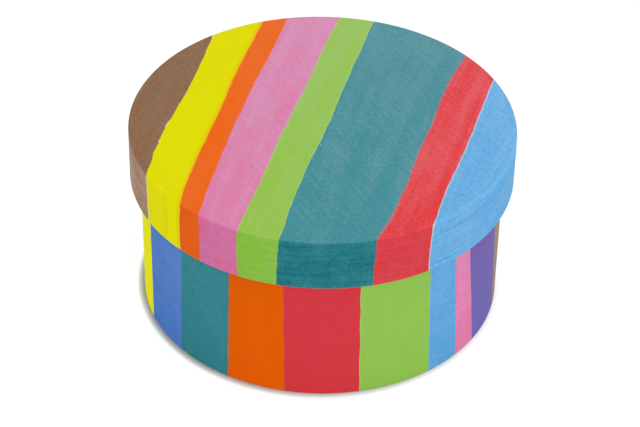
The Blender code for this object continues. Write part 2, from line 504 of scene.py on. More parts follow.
def make_lid_rim():
    """The ply that shows, with its top edge sanded round. It is painted outside and on its narrow top."""
    inside = top_panel_radius + joint_hairline
    easings = (small_easing, lid_mouth_easing, top_arris, filled_easing)
    turned, radius, height = bent_strip(
        inside, lid_radius, lid_mouth, lid_top, easings, fine_spacing, lid_scarf_direction
    )
    sanded = sanded_drop(radius, turned + lid_scarf_direction)
    height = height - near_top(height, rim_sanding_depth, rim_sanding_change) * sanded
    points = hoop_points(turned, radius, height, lid_scarf_direction)
    outer_side = radius > (inside + lid_radius) / 2
    on_top = height > lid_top - top_paint_depth
    places = {
        "stripe_place": lid_stripe_place(points),
        "grain_place": hoop_grain(turned, radius, height, lid_radius, cut_from["lid_rim"]),
        "painted": painted_share(height - lid_mouth - bare_edge) * (outer_side | on_top),
        "upright": over_the_edge(height),
    }
    return make_piece("lid_rim", points, hoop_faces(*turned.shape), places)


lid_rim = make_lid_rim()

# %% The linings, and the body's outer ply
lid_lining_spacing = 2.0 * mm
body_lining_spacing = 3.0 * mm
lid_lining_easing = 0.4 * mm
body_foot_easing = 0.2 * mm
body_rim_easing = 0.5 * mm
bare_body_rim = 0.45 * mm


def make_lining(name, outside, bottom, top, easings, spacing, outer_scarf_direction):
    """An inner ply, left bare. Its scarf joint lies opposite the outer ply's."""
    inside, direction = outside - inner_ply_thickness, outer_scarf_direction + opposite_side
    turned, radius, height = bent_strip(inside, outside, bottom, top, easings, spacing, direction)
    points = hoop_points(turned, radius, height, direction)
    places = {"grain_place": hoop_grain(turned, radius, height, outside, cut_from[name])}
    return make_piece(name, points, hoop_faces(*turned.shape), places)


def make_body_wall():
    """The body's outer ply, painted outside, with its rim and its foot left bare."""
    inside = body_radius - outer_ply_thickness
    easings = (small_easing, body_foot_easing, body_rim_easing, small_easing)
    turned, radius, height = bent_strip(
        inside, body_radius, 0.0, body_rim, easings, fine_spacing, body_scarf_direction
    )
    points = hoop_points(turned, radius, height, body_scarf_direction)
    outer_side = radius > (inside + body_radius) / 2
    over_edge = np.minimum(height - bare_edge, body_rim - bare_body_rim - height)
    places = {
        "stripe_place": body_stripe_place(turned, height),
        "grain_place": hoop_grain(turned, radius, height, body_radius, cut_from["body_wall"]),
        "painted": painted_share(over_edge) * outer_side,
    }
    return make_piece("body_wall", points, hoop_faces(*turned.shape), places)


lid_lining = make_lining(
    "lid_lining", lid_lining_radius, lid_mouth, lid_lining_top,
    (lid_lining_easing, small_easing, small_easing, small_easing), lid_lining_spacing, lid_scarf_direction,
)
body_wall = make_body_wall()
body_lining = make_lining(
    "body_lining", body_lining_radius, body_lining_bottom, body_rim,
    (small_easing, small_easing, small_easing, body_rim_easing), body_lining_spacing, body_scarf_direction,
)

# %% [markdown]
# ## The two panels
#
# Each panel is a plywood disc. The lid's is painted on one side only, and such a disc warps into slow
# ripples wherever the hoop doesn't hold it flat. They are too shallow to see in the outline, and
# deep enough to move the light. The floor is bare on both sides and lies flat.

# %% The lid's top and the floor
panel_warp = 0.08 * mm
# Each ripple of the lid's panel: radians for each metre from its middle, turns round the axis, and phase.
panel_ripples = ((95, 2, 0.0), (160, -3, 1.3))
held_width = 8 * mm
panel_sanding_depth = 2.0 * mm
panel_sanding_change = 1.0 * mm
top_grain_direction = math.radians(121.0)
floor_grain_direction = math.radians(24.0)


def make_lid_panel():
    """The lid's top: ripples, sin(rate * radius + turns * angle + phase), moved down so that none stands
    proud, and faded out towards the edge, which is sanded with the rim. Only its upper face is painted."""
    turned, radius, height = round_panel(
        top_panel_radius, top_panel_bottom, lid_top, filled_easing, fine_spacing
    )
    ripple = sum(np.sin(radius * rate + turns * turned + phase) for rate, turns, phase in panel_ripples)
    sunk = (ripple - len(panel_ripples)) / (2 * len(panel_ripples))
    free = 1 - smooth_step((radius - top_panel_radius + held_width) / held_width)
    worked = near_top(height, panel_sanding_depth, panel_sanding_change)
    height = height + worked * (panel_warp * free * sunk - sanded_drop(radius, turned))
    points = with_poles(hoop_points(turned, radius, height, 0.0), height[0].mean(), top_panel_bottom)
    places = {
        "grain_place": panel_grain(points, top_grain_direction),
        "stripe_place": lid_stripe_place(points),
        "painted": (points[:, 2] > (top_panel_bottom + lid_top) / 2).astype(float),
        "upright": over_the_edge(points[:, 2]),
    }
    return make_piece("lid_panel", points, disc_faces(*turned.shape), places)


def make_box_floor():
    """The floor: a flat disc with its sawn edges just broken."""
    turned, radius, height = round_panel(floor_radius, 0.0, floor_top, small_easing, fine_spacing)
    points = with_poles(hoop_points(turned, radius, height, 0.0), height[0].mean(), 0.0)
    places = {"grain_place": panel_grain(points, floor_grain_direction)}
    return make_piece("box_floor", points, disc_faces(*turned.shape), places)


lid_panel = make_lid_panel()
box_floor = make_box_floor()

# %% [markdown]
# ## Colours and nodes
#
# The paints are written as sRGB hex values, the numbers that a colour picker shows. The renderer
# counts light, so one function turns them to linear values. One more small function adds a node,
# sets it and links it, which keeps each material readable as a list of what happens to the surface.

# %% Two helpers
white = (1.0, 1.0, 1.0, 1.0)


def linear(hex_colour):
    """sRGB hex to linear: a channel c is c / 12.92 up to 0.04045, and ((c + 0.055) / 1.055) ** 2.4 above."""
    channels = [int(hex_colour[place:place + 2], 16) / 255 for place in (1, 3, 5)]
    return (*[c / 12.92 if c <= 0.04045 else ((c + 0.055) / 1.055) ** 2.4 for c in channels], 1.0)


def add_node(tree, kind, *inputs, output=None, **settings):
    """Adds one node, makes its settings, and fills the inputs that it then uses, in their order, with
    values or with links; None leaves an input as it is. Gives back the named output, or else the first
    one that the node uses."""
    node = tree.nodes.new(kind)
    for name, value in settings.items():
        setattr(node, name, value)
    used = [socket for socket in node.inputs if socket.enabled]
    for socket, value in zip(used, inputs):
        if isinstance(value, bpy.types.NodeSocket):
            tree.links.new(value, socket)
        elif value is not None:
            socket.default_value = value
    return node.outputs[output] if output else next(socket for socket in node.outputs if socket.enabled)


print("half of full sRGB is", round(linear("#808080")[0], 3), "of the light")

# %% [markdown]
# ## Light wood: bare basswood
#
# Basswood and poplar are what such boxes are cut from: pale, close-grained woods with fine, short
# pores and almost no figure. Three noises stretched along the grain make it: growth bands, fibres
# and pores. The same three show through the paint, so they are made by one function. Real fibres
# and pores are too fine for the render, so both are drawn as coarse as they need to be to show.

# %% Wood grain
# Length along the grain and width across it, in mm, and how many finer noises are laid over each.
band_noise = (90.0, 5.0, 2.0)
fibre_noise = (3.2, 0.42, 3.0)
pore_noise = (1.7, 0.42, 1.0)
# Each layer over the cream ground, in the order of the noises: the range of its noise over which it comes
# in, how much of it there is at most, and its colour.
cream_ground = "#E6CDA4"
wood_layers = ((0.30, 0.70, 1.00, "#D6B587"), (0.35, 0.75, 0.45, "#C39E6C"), (0.60, 0.74, 0.35, "#8E6B43"))
fibre_range = (0.2, 0.8)
# A surface: the strength and depth of its bump, its lowest and highest roughness, and how much it mirrors.
bare_surface = (0.5, 0.05 * mm, (0.62, 0.80), 0.35)


def stretched_noise(tree, place, first_mm, second_mm, detail=2.0):
    """A noise whose grains are first_mm long in the place's first direction and second_mm in the others."""
    size = (1 / first_mm, 1 / second_mm, 1 / second_mm)
    stretched = add_node(tree, "ShaderNodeVectorMath", place, size, operation="MULTIPLY")
    return add_node(tree, "ShaderNodeTexNoise", stretched, 1.0, detail)


def wood_grain(tree, grain):
    """Growth bands, fibres and pores: three noises over the grain's place."""
    return [stretched_noise(tree, grain, *noise) for noise in (band_noise, fibre_noise, pore_noise)]


def bare_wood_colour(tree, noises):
    """Cream wood, a little darker in the growth bands and along the fibres, with brown pores."""
    colour = linear(cream_ground)
    for noise, (low, high, most, layer) in zip(noises, wood_layers):
        share = add_node(tree, "ShaderNodeMapRange", noise, low, high, 0.0, most)
        colour = add_node(tree, "ShaderNodeMix", share, colour, linear(layer), data_type="RGBA")
    return colour


def new_material(name):
    """A material, its node tree and its shader."""
    material = bpy.data.materials.new(name)
    material.use_nodes = True
    return material, material.node_tree, material.node_tree.nodes["Principled BSDF"]


def give_surface(tree, shader, fibres, relief, strength, depth, roughness, gloss):
    """The relief as bump, a roughness that follows the fibres from its low to its high value, and how
    strongly the surface mirrors."""
    bump = add_node(tree, "ShaderNodeBump", strength, depth, None, relief)
    tree.links.new(bump, shader.inputs["Normal"])
    rough = add_node(tree, "ShaderNodeMapRange", fibres, *fibre_range, *roughness)
    tree.links.new(rough, shader.inputs["Roughness"])
    shader.inputs["Specular IOR Level"].default_value = gloss


def make_bare_basswood():
    """Sanded and left raw: rough, with the fibres just standing up."""
    material, tree, shader = new_material("bare_sanded_basswood")
    grain = add_node(tree, "ShaderNodeAttribute", attribute_name="grain_place", output="Vector")
    noises = wood_grain(tree, grain)
    tree.links.new(bare_wood_colour(tree, noises), shader.inputs["Base Color"])
    give_surface(tree, shader, noises[1], noises[1], *bare_surface)
    return material


bare_basswood = make_bare_basswood()
print("made", bare_basswood.name)

# %% [markdown]
# ## Matt acrylic over the wood
#
# Acrylic from a broad marker dries dead flat. It sinks into the pores, so the grain still shows as
# fine dashes, and each pass of the nib overlaps the last and leaves long, faint streaks of a second
# tone. Where two colours meet, the later one runs a little over the earlier, and here and there the
# two miss each other and leave a thin pale line. On the rim a few dark veins of the veneer show.
#
# So each stripe has two tones, which the streaks mix, and each border has a softness in mm. Adding up
# the borders that a place has passed gives the number of its stripe, and a colour ramp turns that
# number into a colour. Counting first keeps the borders exact: a ramp is read from a table of 256
# steps, and one step of the whole pattern would be wider than a border.

# %% Paints
# Each stripe of the lid has a name, two tones for the flat top, two for the upright rim, how much the wood
# shows through it, and how soft its border with the next stripe is, in mm, on the top and on the rim.
# The top's and the rim's tones are lit and shaded copies of one paint: the top's hold a painted pale
# sheen, and the rim's are lightened or darkened for how the light falls on the upright side.
lid_paints = (
    ("brown", "#886247", "#876A51", "#9F7C65", "#B59884", 0.9, 0.15, 0.15),
    ("yellow", "#D7D600", "#D9D500", "#EAE900", "#EAE400", 0.1, 1.00, 0.60),
    ("orange", "#E66310", "#E46827", "#EA6618", "#E45D18", 0.3, 0.65, 0.35),
    ("pink", "#D57CA5", "#D18DB1", "#D86699", "#CC7AA5", 0.35, 0.15, 0.15),
    ("green", "#91BC4D", "#95BE61", "#81BE36", "#8FBB54", 0.25, 0.15, 0.15),
    ("teal", "#458B94", "#5B919B", "#19717A", "#327F87", 0.9, 1.20, 0.25),
    ("red", "#D93F43", "#DA5A60", "#D83A41", "#D4454F", 0.6, 0.15, 0.15),
    ("sky", "#64A6D9", "#76B1D8", "#64ABE1", "#73B1E0", 0.8, 0.0, 0.0),
)
# The body's colours come back round the wall: two tones each, and how much the wood shows through.
wall_colours = {
    "red": ("#D53941", "#D33B46", 0.25),
    "purple": ("#736BB2", "#7764AF", 0.45),
    "green": ("#90C14F", "#92C356", 0.12),
    "orange": ("#E86100", "#E05E00", 0.12),
    "yellow": ("#FCFB00", "#F5F400", 0.1),
    "blue": ("#4F81CF", "#5E88D0", 0.6),
    "teal": ("#348691", "#3C8995", 0.85),
    "sky": ("#5EA5DA", "#6AADE2", 0.55),
    "pink": ("#E37DAB", "#E38BB7", 0.35),
    "tan": ("#9F8773", "#A58E7B", 0.7),
}
# The body's stripes from the scarf joint on, each with how soft its border with the next one is, in mm.
body_paints = (
    ("red", 0.25), ("purple", 0.25), ("green", 0.25), ("orange", 0.35), ("yellow", 0.15), ("blue", 0.35),
    ("teal", 0.85), ("orange", 1.00), ("red", 0.15), ("green", 0.15), ("sky", 0.2), ("pink", 0.2),
    ("purple", 0.4), ("tan", 0.3), ("blue", 0.3), ("yellow", 0.0),
)
print("the lid's paints:", ", ".join(paint[0] for paint in lid_paints))
print("the body's paints:", ", ".join(paint[0] for paint in body_paints))

# %% Count the stripes and colour them
level_share = 0.12


def grey(share):
    """A grey that is the same in linear light and as a plain number."""
    return (share, share, share, 1.0)


def stripe_count(tree, across, upright, places, softness):
    """How many borders lie before a place across the stripes. Each adds one, over the width of its softness,
    which goes from its first value on the flat top to its second on the upright rim."""
    count = 0.0
    for place, (on_top, on_rim) in zip(places, softness):
        soft = add_node(tree, "ShaderNodeMapRange", upright, 0.0, 1.0, on_top, on_rim)
        beyond = add_node(tree, "ShaderNodeMath", across, place / mm, operation="SUBTRACT")
        share = add_node(tree, "ShaderNodeMath", beyond, soft, operation="DIVIDE")
        passed = add_node(tree, "ShaderNodeMapRange", share, -0.5, 0.5)
        count = add_node(tree, "ShaderNodeMath", count, passed, operation="ADD")
    return count


def stripe_ramp(tree, count, colours):
    """A ramp with one colour for each stripe, which stays level for a small share to each side of it."""
    last = len(colours) - 1
    ramp = add_node(tree, "ShaderNodeValToRGB", add_node(tree, "ShaderNodeMapRange", count, 0.0, last))
    stops = ramp.node.color_ramp.elements
    stops[0].position, stops[0].color = 0.0, colours[0]
    stops[-1].position, stops[-1].color = 1.0, colours[-1]
    for number, colour in enumerate(colours):
        for shift in (-level_share, level_share):
            if 0 < number + shift < last:
                stops.new((number + shift) / last).color = colour
    return ramp


print("the ramp of the body's stripes has", 2 * len(body_paints), "stops")

# %% Lines, marks and veins
# A line is its border's number, how far it lies beside that border and how wide it is in mm, how well it
# covers, how much of its length shows on the flat top and on the upright rim, and its colour.
cream_wood = "#E8DFB8"
pale_green = "#AAD27C"
pale_blue = "#D4E2EC"
amber = "#E2AA00"
straw = "#EED98A"
smudge = "#55694F"
lid_lines = (
    (0, -0.05, 0.30, 0.90, 0.20, 1.00, cream_wood),
    (1, -0.60, 1.20, 0.30, 0.90, 1.00, amber),
    (1, -5.40, 1.80, 0.15, 0.00, 1.00, amber),
    (1, 0.05, 0.22, 0.45, 0.00, 0.75, straw),
    (3, 0.10, 0.26, 0.65, 0.85, 0.30, pale_green),
    (4, -0.12, 0.26, 0.65, 0.80, 0.30, pale_green),
    (6, 0.10, 0.36, 0.50, 0.90, 0.00, pale_blue),
    (6, 0.02, 0.28, 0.70, 0.00, 0.85, pale_blue),
)
body_lines = (
    (4, 0.05, 0.40, 0.50, 0.90, 0.90, cream_wood),
    (6, -0.35, 0.90, 0.40, 0.70, 0.70, smudge),
    (8, 0.12, 0.24, 0.60, 0.75, 0.75, pale_green),
    (9, -0.08, 0.24, 0.50, 0.80, 0.80, pale_green),
)
# A mark is where it lies on the box, its radius, both in mm, and its colour.
lid_marks = (
    ((-0.6, -11.8, 61.4), 0.30, "#84B6BC"),
    ((-18.0, -57.4, 61.0), 0.40, "#AED286"),
    ((-52.0, -30.0, 45.3), 0.85, "#E2DCB4"),
    # The next mark, on the rounded top edge where brown meets yellow, is a painted highlight.
    ((-52.0, -29.9, 61.2), 0.40, "#E4E058"),
    ((33.1, -50.1, 60.8), 0.46, "#BAD6EC"),
    ((34.2, -49.3, 45.7), 0.38, "#A6CCEA"),
    ((-47.8, -35.7, 61.3), 0.50, "#E4E050"),
    ((-46.9, -37.0, 61.0), 0.34, "#E4E050"),
)
# A vein is a dark fibre of the veneer that shows through the paint: how far round from the scarf joint its
# middle lies, how high, and half its length and half its width, all in mm.
rim_veins = ((219.9, 57.0, 10.5, 0.28), (212.4, 46.2, 3.4, 0.22))
print(len(lid_lines + body_lines), "lines,", len(lid_marks), "marks and", len(rim_veins), "veins")

# %% Draw a line, a mark or a vein
# A line covers fully up to the first share of its width from its middle, and not at all from the second.
line_shares = (0.1, 0.8)
# It comes in as the noise along it, plus the share of its length that shows, passes from the first of these
# to the second.
line_break = (0.95, 1.10)
# The distances, counted in radii, over which a mark ends, once its ragged noise is added, and a vein ends.
mark_end = (1.2, 1.5)
vein_end = (0.5, 1.3)
vein_bend_length_mm = 9.0
vein_bend_mm = 0.5
vein_depth = 0.30


def line_mask(tree, across, upright, patches, place_mm, width_mm, cover, on_top, on_rim):
    """The cover near the line's place, wherever the noise along it passes a level that falls with the
    length to show, and 0 elsewhere."""
    offset = add_node(tree, "ShaderNodeMath", across, place_mm, operation="SUBTRACT")
    distance = add_node(tree, "ShaderNodeMath", offset, operation="ABSOLUTE")
    near, far = (width_mm * share for share in line_shares)
    covered = add_node(tree, "ShaderNodeMapRange", distance, near, far, cover, 0.0)
    shown = add_node(tree, "ShaderNodeMapRange", upright, 0.0, 1.0, on_top, on_rim)
    passed = add_node(tree, "ShaderNodeMath", shown, patches, operation="ADD")
    patchy = add_node(tree, "ShaderNodeMapRange", passed, *line_break)
    return add_node(tree, "ShaderNodeMath", covered, patchy, operation="MULTIPLY")


def mark_mask(tree, place, ragged, centre_mm, radius_mm):
    """1 within the radius of the mark's centre, with a ragged edge, and 0 outside."""
    centre = [length * mm for length in centre_mm]
    distance = add_node(tree, "ShaderNodeVectorMath", place, centre, operation="DISTANCE")
    share = add_node(tree, "ShaderNodeMath", distance, 1 / (radius_mm * mm), ragged, operation="MULTIPLY_ADD")
    return add_node(tree, "ShaderNodeMapRange", share, *mark_end, 1.0, 0.0)


def vein_shade(tree, grain, round_mm, height_mm, half_length_mm, half_width_mm):
    """1 - vein_depth on the vein and 1 away from it. The vein is a long thin ellipse, so the distance from
    its middle is counted in its own half length and half width. A slow noise bends it."""
    slow = stretched_noise(tree, grain, vein_bend_length_mm, vein_bend_length_mm, 1.0)
    bend = add_node(tree, "ShaderNodeMapRange", slow, 0.0, 1.0, -vein_bend_mm, vein_bend_mm)
    bent = add_node(tree, "ShaderNodeVectorMath", grain, bend, operation="ADD")
    middle = (round_mm, height_mm, 0.0)
    size = (1 / half_length_mm, 1 / half_width_mm, 0.0)
    offset = add_node(tree, "ShaderNodeVectorMath", bent, middle, operation="SUBTRACT")
    share = add_node(tree, "ShaderNodeVectorMath", offset, size, operation="MULTIPLY")
    distance = add_node(tree, "ShaderNodeVectorMath", share, operation="LENGTH")
    return add_node(tree, "ShaderNodeMapRange", distance, *vein_end, 1.0 - vein_depth, 1.0)


print("a vein darkens the paint by up to", round(100 * vein_depth), "percent")

# %% Streaks, blots and the hand's wobble
# Each noise that mixes a paint's two tones: the place that it follows, its length in that place's first
# direction and in the others, in mm, how many finer noises are laid over it, and the range that counts.
paint_noises = {
    "brush_streaks": ("stripe", (4.5, 50.0), 2.0, (0.36, 0.64)),
    "nib_streaks": ("stripe", (1.1, 20.0), 2.0, (0.32, 0.68)),
    "blotches": ("stripe", (8.0, 12.0), 3.0, (0.34, 0.66)),
    "grain_streaks": ("grain", (18.0, 0.9), 2.0, (0.34, 0.66)),
    "mottle": ("stripe", (1.0, 1.3), 2.0, (0.30, 0.70)),
}
# How much each of these counts in the mixing, and the range of their sum over which the second tone comes in.
flat_shares = (0.34, 0.16, 0.16, 0.12, 0.22)
rim_shares = (0.12, 0.08, 0.30, 0.26, 0.24)
wall_shares = (0.20, 0.12, 0.28, 0.16, 0.24)
tone_range = (0.26, 0.74)
# The second tone also gains along the stripe: towards the back of the lid's top, where the gain is a painted
# pale sheen, and on the body from its foot towards its rim.
tone_gradient_share = 0.50
# How long the slow and the fine wobble of a border are along it. Across it they are stretched this many
# times, so that a border is moved as a whole.
wobble_lengths_mm = (7.0, 1.6)
wobble_stretch = 3


def unsteady(tree, stripe, wobbles_mm):
    """The place across the stripes, moved to and fro by up to each wobble."""
    across = add_node(tree, "ShaderNodeSeparateXYZ", stripe, output="X")
    for wobble, length in zip(wobbles_mm, wobble_lengths_mm):
        noise = stretched_noise(tree, stripe, length * wobble_stretch, length)
        swing = add_node(tree, "ShaderNodeMapRange", noise, 0.0, 1.0, -wobble, wobble)
        across = add_node(tree, "ShaderNodeMath", across, swing, operation="ADD")
    return across


def weighted_sum(tree, weighted):
    """The sum of value times weight over the given pairs."""
    total = 0.0
    for value, weight in weighted:
        total = add_node(tree, "ShaderNodeMath", value, weight, total, operation="MULTIPLY_ADD")
    return total


def second_tone(tree, noises, mixing_shares, stripe, upright, tone_gradient_mm):
    """How much of the second tone shows: the noises by their shares, and the tone gradient on the flat top,
    which on the lid is a painted sheen towards the back.
    """
    along = add_node(tree, "ShaderNodeSeparateXYZ", stripe, output="Y")
    graded = add_node(tree, "ShaderNodeMapRange", along, *tone_gradient_mm, -0.5, 0.5)
    flat = add_node(tree, "ShaderNodeMapRange", upright, 0.0, 1.0, tone_gradient_share, 0.0)
    total = weighted_sum(tree, [*zip(noises.values(), mixing_shares), (graded, flat)])
    return add_node(tree, "ShaderNodeMapRange", total, *tone_range)


for label, shares in (("flat top", flat_shares), ("rim", rim_shares), ("body", wall_shares)):
    print("shares on the", label, "add up to", round(sum(shares), 2))

# %% The grain under the paint
fibre_contrast = (0.28, 0.72)
fibre_depth = 0.17
mottle_depth = 0.12
grain_streak_depth = 0.07
grain_line_noise = (46.0, 0.7, 1.0)
grain_line_range = (0.66, 0.72)
grain_line_depth = 0.11
pore_range = (0.64, 0.76)
pore_cover = 0.30
pore_shadow = "#20303A"


def over_grain(tree, colour, grain, fibres, pores, noises, veins):
    """The paint where it is thin. The fibres, the mottle, the streaks and the long lines of the grain each
    shade it, from 1 - depth / 2 where their share is 0 to 1 + depth / 2 where it is 1. The veins darken
    it too, and the pores lie in shadow."""
    fibre_share = add_node(tree, "ShaderNodeMapRange", fibres, *fibre_contrast)
    long_lines = stretched_noise(tree, grain, *grain_line_noise)
    line_share = add_node(tree, "ShaderNodeMapRange", long_lines, *grain_line_range, 0.5, 0.0)
    shares = (fibre_share, noises["mottle"], noises["grain_streaks"], line_share)
    shades = [
        add_node(tree, "ShaderNodeMapRange", share, 0.0, 1.0, 1.0 - depth / 2, 1.0 + depth / 2)
        for share, depth in zip(shares, (fibre_depth, mottle_depth, grain_streak_depth, grain_line_depth))
    ]
    for shade in shades + [vein_shade(tree, grain, *vein) for vein in veins]:
        colour = add_node(tree, "ShaderNodeVectorMath", colour, shade, operation="SCALE")
    pore_share = add_node(tree, "ShaderNodeMapRange", pores, *pore_range, 0.0, pore_cover)
    return add_node(tree, "ShaderNodeMix", pore_share, colour, linear(pore_shadow), data_type="RGBA")


print("the fibres shade the paint by up to", round(100 * fibre_depth / 2, 1), "percent each way")

# %% Colour the stripes and lay the lines and marks over them
# The noise that breaks the lines up, the range of it that counts, and the one that makes the marks ragged.
patch_noise = (60.0, 6.0)
patch_range = (0.30, 0.70)
ragged_noise = (0.7, 0.7, 1.0)


def striped_colour(tree, count, upright, second_share, tone_sets):
    """Two ramps of tones mixed for the flat top, two for the upright rim, and the two results mixed. Where
    there is only one set of tones, both results are that one. On the lid the two sets are lit and shaded
    copies of each paint, so mixing them by the upright share paints light, with a pale sheen on the top."""
    surfaces = []
    for tones in tone_sets:
        pair = [stripe_ramp(tree, count, [linear(tone) for tone in column]) for column in tones]
        surfaces.append(add_node(tree, "ShaderNodeMix", second_share, *pair, data_type="RGBA"))
    return add_node(tree, "ShaderNodeMix", upright, surfaces[0], surfaces[-1], data_type="RGBA")


def with_lines_and_marks(tree, colour, across, upright, stripe, places, lines, marks):
    """The colour with each line and each mark laid over it by its mask."""
    patches = add_node(tree, "ShaderNodeMapRange", stretched_noise(tree, stripe, *patch_noise), *patch_range)
    for border, beside, width, cover, on_top, on_rim, line_colour in lines:
        place_mm = places[border] / mm + beside
        mask = line_mask(tree, across, upright, patches, place_mm, width, cover, on_top, on_rim)
        colour = add_node(tree, "ShaderNodeMix", mask, colour, linear(line_colour), data_type="RGBA")
    here = add_node(tree, "ShaderNodeTexCoord", output="Object")
    ragged = stretched_noise(tree, stripe, *ragged_noise)
    for centre, radius, mark_colour in marks:
        mask = mark_mask(tree, here, ragged, centre, radius)
        colour = add_node(tree, "ShaderNodeMix", mask, colour, linear(mark_colour), data_type="RGBA")
    return colour


print("the lines break up every", patch_noise[1], "mm or so")

# %% What the stripes of each half are made from
# The wobbles are how far a border strays to each side, slowly and finely. The tone gradient gives the two
# places along a stripe between which its second tone gains; on the lid's top that gain is a painted sheen.
_, top_first, top_second, rim_first, rim_second, lid_shows, soft_on_top, soft_on_rim = zip(*lid_paints)
lid_stripes = {
    "places": lid_border_places,
    "softness": tuple(zip(soft_on_top, soft_on_rim)),
    "tones": ((top_first, top_second), (rim_first, rim_second)),
    "shows": lid_shows,
    "wobbles_mm": (0.45, 0.10),
    "tone_gradient_mm": (-60.0, 60.0),
    "lines": lid_lines,
}
wall_names, wall_soft = zip(*body_paints)
wall_first, wall_second, body_shows = zip(*[wall_colours[name] for name in wall_names])
body_stripes = {
    "places": body_border_places,
    "softness": tuple(zip(wall_soft, wall_soft)),
    "tones": ((wall_first, wall_second),),
    "shows": body_shows,
    "wobbles_mm": (0.32, 0.06),
    "tone_gradient_mm": (0.0, 45.0),
    "lines": body_lines,
}
print("from border to border the lid's stripes fill", np.round(np.diff(lid_border_places) / mm, 1), "mm")

# %% The painted finish
# The paint ends where its share and this noise, counted by the raggedness, add up to less than the range.
edge_noise = (1.6, 6.0, 3.0)
edge_raggedness = 0.7
edge_range = (0.80, 0.90)
# How much the brush streaks count in the relief, where the fibres count 1.
brush_relief = 0.25
# A dry marker hardly mirrors: the same values as those of the bare wood's surface, in the same order.
paint_surface = (0.35, 0.02 * mm, (0.58, 0.72), 0.03)


def make_painted_wood(name, stripes, mixing_shares, marks=(), veins=()):
    """Striped matt acrylic, thin enough for the grain to show, over bare basswood where it ends."""
    material, tree, shader = new_material(name)
    stripe, grain = (
        add_node(tree, "ShaderNodeAttribute", attribute_name=place, output="Vector")
        for place in ("stripe_place", "grain_place")
    )
    upright, painted = (
        add_node(tree, "ShaderNodeAttribute", attribute_name=share, output="Fac")
        for share in ("upright", "painted")
    )
    bands, fibres, pores = wood_grain(tree, grain)
    followed = {"stripe": stripe, "grain": grain}
    noises = {}
    for label, (place, size, detail, counted) in paint_noises.items():
        noise = stretched_noise(tree, followed[place], *size, detail)
        noises[label] = add_node(tree, "ShaderNodeMapRange", noise, *counted)

    across = unsteady(tree, stripe, stripes["wobbles_mm"])
    count = stripe_count(tree, across, upright, stripes["places"], stripes["softness"])
    second_share = second_tone(tree, noises, mixing_shares, stripe, upright, stripes["tone_gradient_mm"])
    colour = striped_colour(tree, count, upright, second_share, stripes["tones"])
    thin = over_grain(tree, colour, grain, fibres, pores, noises, veins)
    showing = stripe_ramp(tree, count, [grey(share) for share in stripes["shows"]])
    colour = add_node(tree, "ShaderNodeMix", showing, colour, thin, data_type="RGBA")
    colour = with_lines_and_marks(
        tree, colour, across, upright, stripe, stripes["places"], stripes["lines"], marks
    )

    ragged_edge = stretched_noise(tree, stripe, *edge_noise)
    edge = weighted_sum(tree, [(painted, 1.0), (ragged_edge, edge_raggedness)])
    covered = add_node(tree, "ShaderNodeMapRange", edge, *edge_range)
    wood = bare_wood_colour(tree, (bands, fibres, pores))
    colour = add_node(tree, "ShaderNodeMix", covered, wood, colour, data_type="RGBA")
    tree.links.new(colour, shader.inputs["Base Color"])
    relief = weighted_sum(tree, [(fibres, 1.0), (noises["brush_streaks"], brush_relief)])
    give_surface(tree, shader, fibres, relief, *paint_surface)
    return material


lid_top_paint = make_painted_wood("acrylic_marker_on_lid_panel", lid_stripes, flat_shares, lid_marks)
lid_rim_paint = make_painted_wood("acrylic_marker_on_lid_rim", lid_stripes, rim_shares, lid_marks, rim_veins)
body_paint = make_painted_wood("acrylic_marker_on_body", body_stripes, wall_shares)
print("made", lid_top_paint.name, lid_rim_paint.name, body_paint.name)

# %% [markdown]
# ## Dress the construction
#
# Each fine piece stands for one solid and rides on the half of the box that the solid belongs to,
# so that lifting the lid takes its rim, lining and panel along.

# %% Hang the pieces on the construction
dressing = (
    (lid_rim, "lid_outer_hoop", "lid", lid_rim_paint, "lid_rim_paint"),
    (lid_lining, "lid_inner_hoop", "lid", bare_basswood, "bare_veneer"),
    (lid_panel, "lid_top_panel", "lid", lid_top_paint, "lid_top_paint"),
    (body_wall, "body_outer_hoop", "body", body_paint, "body_paint"),
    (body_lining, "body_inner_hoop", "body", bare_basswood, "bare_veneer"),
    (box_floor, "floor_panel", "body", bare_basswood, "bare_plywood"),
)
for piece, node, body, material, slot in dressing:
    piece.data.materials.append(material)
    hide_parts(node)
    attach(piece, body)
    print(piece.name, "stands for", node, "and rides on", body)

# %% [markdown]
# ## A white table and soft light
#
# The photograph is a plain product picture: white all round, soft light from above and from the
# front, hardly a shadow. The table is a real one, so that the box stands on something, and is white
# to the camera, while the light that it throws back up is that of a pale grey table. The one shadow
# is a painted shadow: a thin line of contact at the foot, darkened into the table's glow, and darkest on
# the side that faces away from the light.

# %% White table
table_width = 6.0
table_drop = 0.02 * mm
table_bounce = 0.80
table_seen = 0.22
table_glow = 0.86
# The painted shadow at the foot: how far it reaches, the power that deepens it, and its samples. The lean
# tilts it towards the light, so that it is darkest on the side away from the lamps.
painted_shadow_reach = 2.5 * mm
painted_shadow_depth = 1.75
painted_shadow_samples = 16
light_lean = (0.95, 0.30, 0.0)


def make_table():
    """One large square just under the box."""
    corner = table_width / 2
    mesh = bpy.data.meshes.new("floor")
    corners = [(-corner, -corner, 0), (corner, -corner, 0), (corner, corner, 0), (-corner, corner, 0)]
    mesh.from_pydata(corners, [], [(0, 1, 2, 3)])
    table = bpy.data.objects.new("floor", mesh)
    bpy.context.scene.collection.objects.link(table)
    table.location.z = -table_drop
    table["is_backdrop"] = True
    return table


def seen_directly(tree):
    """1 for a ray from the camera, off a glossy surface or through glass, and 0 for scattered light."""
    camera_ray, glossy_ray, glass_ray = (
        add_node(tree, "ShaderNodeLightPath", output=kind)
        for kind in ("Is Camera Ray", "Is Glossy Ray", "Is Transmission Ray")
    )
    glossy = add_node(tree, "ShaderNodeMath", glossy_ray, glass_ray, operation="MAXIMUM")
    return add_node(tree, "ShaderNodeMath", camera_ray, glossy, operation="MAXIMUM")


